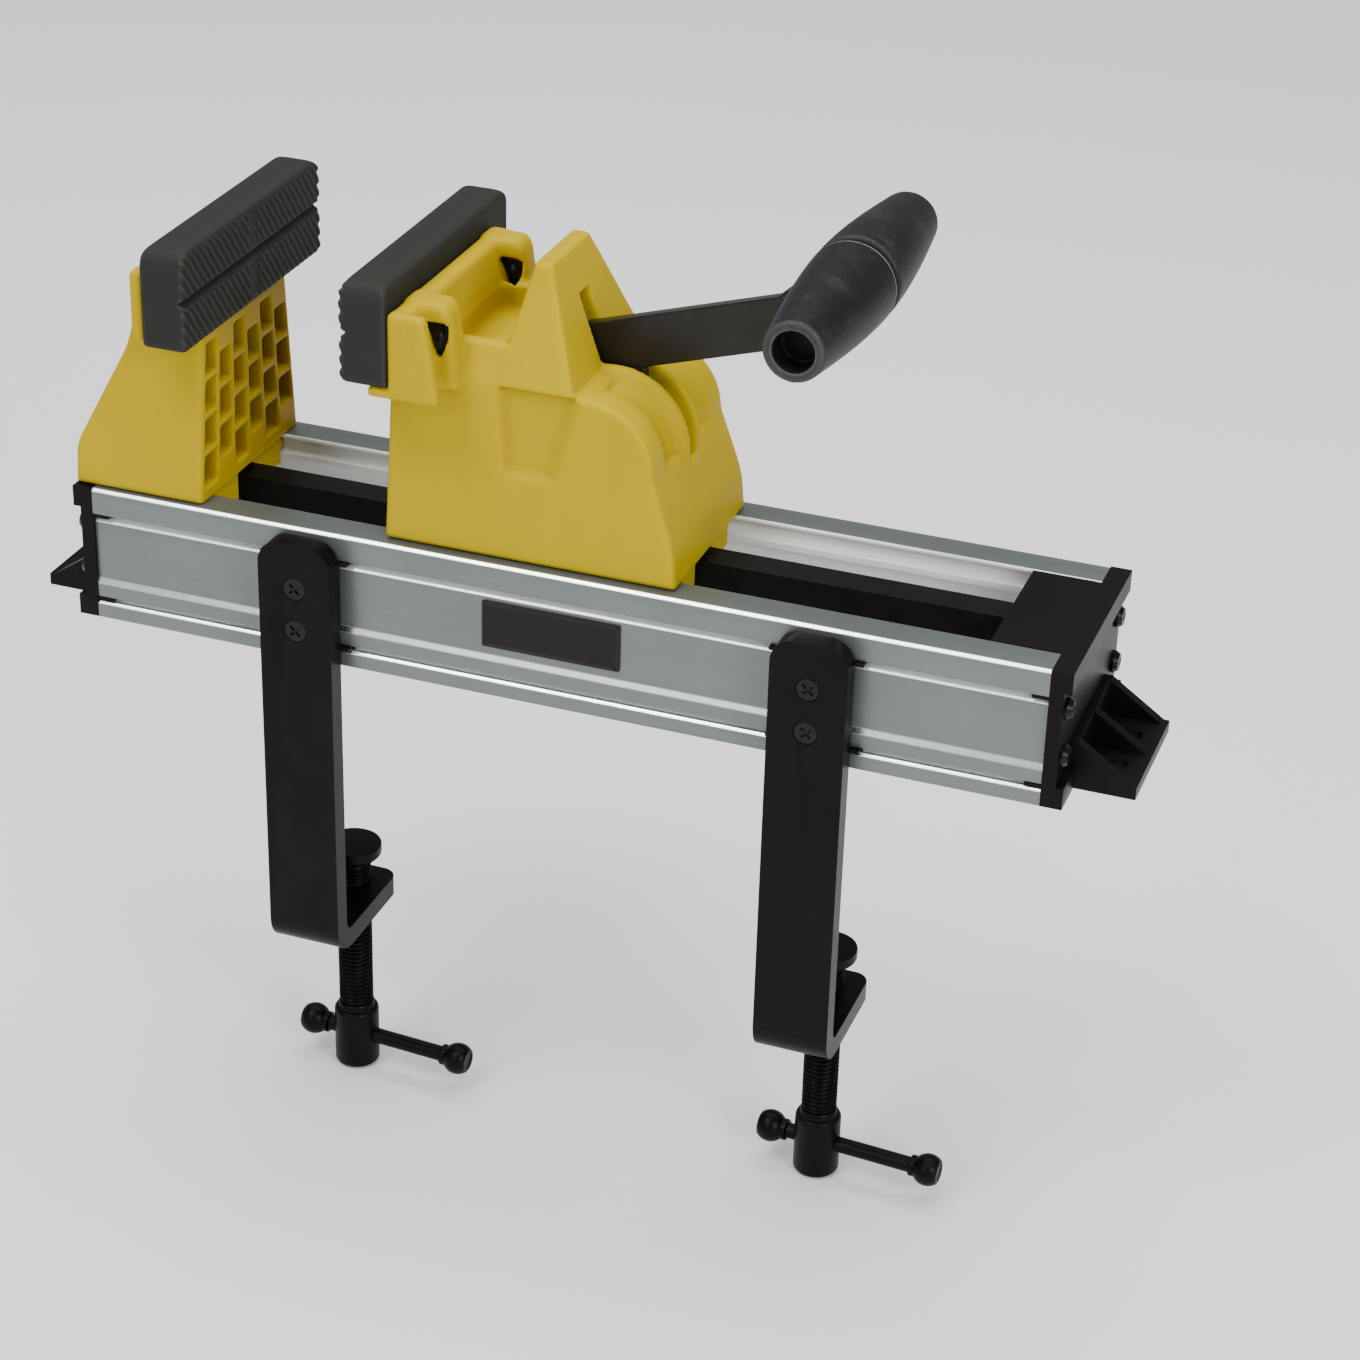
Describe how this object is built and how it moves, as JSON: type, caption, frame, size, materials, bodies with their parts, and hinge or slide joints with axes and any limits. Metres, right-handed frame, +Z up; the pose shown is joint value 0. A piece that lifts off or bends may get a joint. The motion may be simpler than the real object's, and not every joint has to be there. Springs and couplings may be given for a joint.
{
  "type": "quick-release bench vise",
  "caption": "Bench vise on twin alloy rails: fixed jaw, quick-release sliding jaw with cam lever and grip, rubber pads, and sliding screw clamps for the bench edge.",
  "frame": {"origin": "centre of the four foot holes, on the plane of the rails' underside where the vise sits", "axes": "+X along the rails from the fixed jaw to the free end, +Y from the clamps to the back, +Z up"},
  "size_m": [0.417, 0.133, 0.3742],
  "materials": {
    "rail_alloy": "drawn and anodised, fine lengthwise lines",
    "cap_plastic": "moulded, fine grain",
    "black_screw": "blackened steel",
    "lock_bar_black": "blackened flat bar",
    "bright_steel": "zinc plated",
    "plate_black": "bare gloss plate",
    "jaw_yellow": "moulded, satin gloss",
    "pad_rubber": "matt moulded rubber",
    "runner_plastic": "slick plastic strip",
    "bush_bronze": "sintered bronze",
    "lever_black": "black coated flat steel",
    "grip_rubber": "fine grained rubber",
    "lining_rubber": "hard friction lining",
    "clamp_black": "black powder coat",
    "slider_plastic": "moulded slider"
  },
  "bodies": {
    "frame": {"front_rail": "rail_alloy", "rear_rail": "rail_alloy", "left_end_cap": "cap_plastic", "right_end_cap": "cap_plastic", "left_cap_screws": "black_screw", "right_cap_screws": "black_screw", "lock_bar": "lock_bar_black", "lock_bar_pins": "bright_steel", "nameplate": "plate_black", "fixed_jaw": "jaw_yellow", "fixed_jaw_screws": "bright_steel", "fixed_jaw_pad": "pad_rubber", "fixed_pad_nuts": "bright_steel", "fixed_pad_screws": "bright_steel"},
    "jaw": {"moving_jaw": "jaw_yellow", "moving_jaw_pad": "pad_rubber", "moving_pad_nuts": "bright_steel", "moving_pad_screws": "bright_steel", "front_runner": "runner_plastic", "rear_runner": "runner_plastic", "runner_screws": "bright_steel", "pivot_pin": "bright_steel", "pivot_bushes": "bush_bronze", "pivot_clips": "bright_steel", "return_springs": "bright_steel"},
    "lever": {"lever_arm": "lever_black", "handle_tube": "bright_steel", "front_grip": "grip_rubber", "rear_grip": "grip_rubber"},
    "shoe": {"brake_shoe": "bright_steel", "brake_lining": "lining_rubber"},
    "left_clamp": {"left_clamp_bar": "clamp_black", "left_clamp_slider": "slider_plastic", "left_clamp_bolts": "black_screw"},
    "left_pad": {"left_swivel_pad": "clamp_black"},
    "left_screw": {"left_clamp_screw": "clamp_black"},
    "left_tommy": {"left_tommy_bar": "clamp_black", "left_tommy_knobs": "clamp_black"},
    "right_clamp": {"right_clamp_bar": "clamp_black", "right_clamp_slider": "slider_plastic", "right_clamp_bolts": "black_screw"},
    "right_pad": {"right_swivel_pad": "clamp_black"},
    "right_screw": {"right_clamp_screw": "clamp_black"},
    "right_tommy": {"right_tommy_bar": "clamp_black", "right_tommy_knobs": "clamp_black"}
  },
  "joints": [
    {"name": "jaw_slide", "type": "slide", "parent": "frame", "child": "jaw", "axis": [1, 0, 0], "range_m": [-0.0555, 0.108]},
    {"name": "lever_swing", "type": "hinge", "parent": "jaw", "child": "lever", "pos_m": [0.0097, 0, 0.091], "axis": [0, 1, 0], "range_deg": [-20, 45]},
    {"name": "brake_press", "type": "slide", "parent": "jaw", "child": "shoe", "axis": [0, 0, 1], "range_m": [-0.00197, 0.00088], "deforming": ["return_springs"]},
    {"name": "left_clamp_slide", "type": "slide", "parent": "frame", "child": "left_clamp", "axis": [1, 0, 0], "range_m": [-0.056, 0.045]},
    {"name": "left_pad_lift", "type": "slide", "parent": "left_clamp", "child": "left_pad", "axis": [0, 0, 1], "range_m": [-0.00701, 0.03151]},
    {"name": "left_screw_turn", "type": "hinge", "parent": "left_pad", "child": "left_screw", "pos_m": [-0.094, -0.008, -0.13], "axis": [0, 0, 1], "range_deg": [-1440, 6480]},
    {"name": "left_tommy_slide", "type": "slide", "parent": "left_screw", "child": "left_tommy", "axis": [0.9976, -0.0698, 0], "range_m": [-0.028, 0.0025]},
    {"name": "right_clamp_slide", "type": "slide", "parent": "frame", "child": "right_clamp", "axis": [1, 0, 0], "range_m": [-0.05, 0.054]},
    {"name": "right_pad_lift", "type": "slide", "parent": "right_clamp", "child": "right_pad", "axis": [0, 0, 1], "range_m": [-0.00701, 0.03151]},
    {"name": "right_screw_turn", "type": "hinge", "parent": "right_pad", "child": "right_screw", "pos_m": [0.098, -0.008, -0.13], "axis": [0, 0, 1], "range_deg": [-1440, 6480]},
    {"name": "right_tommy_slide", "type": "slide", "parent": "right_screw", "child": "right_tommy", "axis": [0.9976, -0.0698, 0], "range_m": [-0.028, 0.0025]}
  ],
  "couplings": [
    {"joint": "brake_press", "follows": "lever_swing", "m_per_rad": -0.0025},
    {"joint": "left_pad_lift", "follows": "left_screw_turn", "m_per_rad": 0.00027852},
    {"joint": "right_pad_lift", "follows": "right_screw_turn", "m_per_rad": 0.00027852}
  ]
}
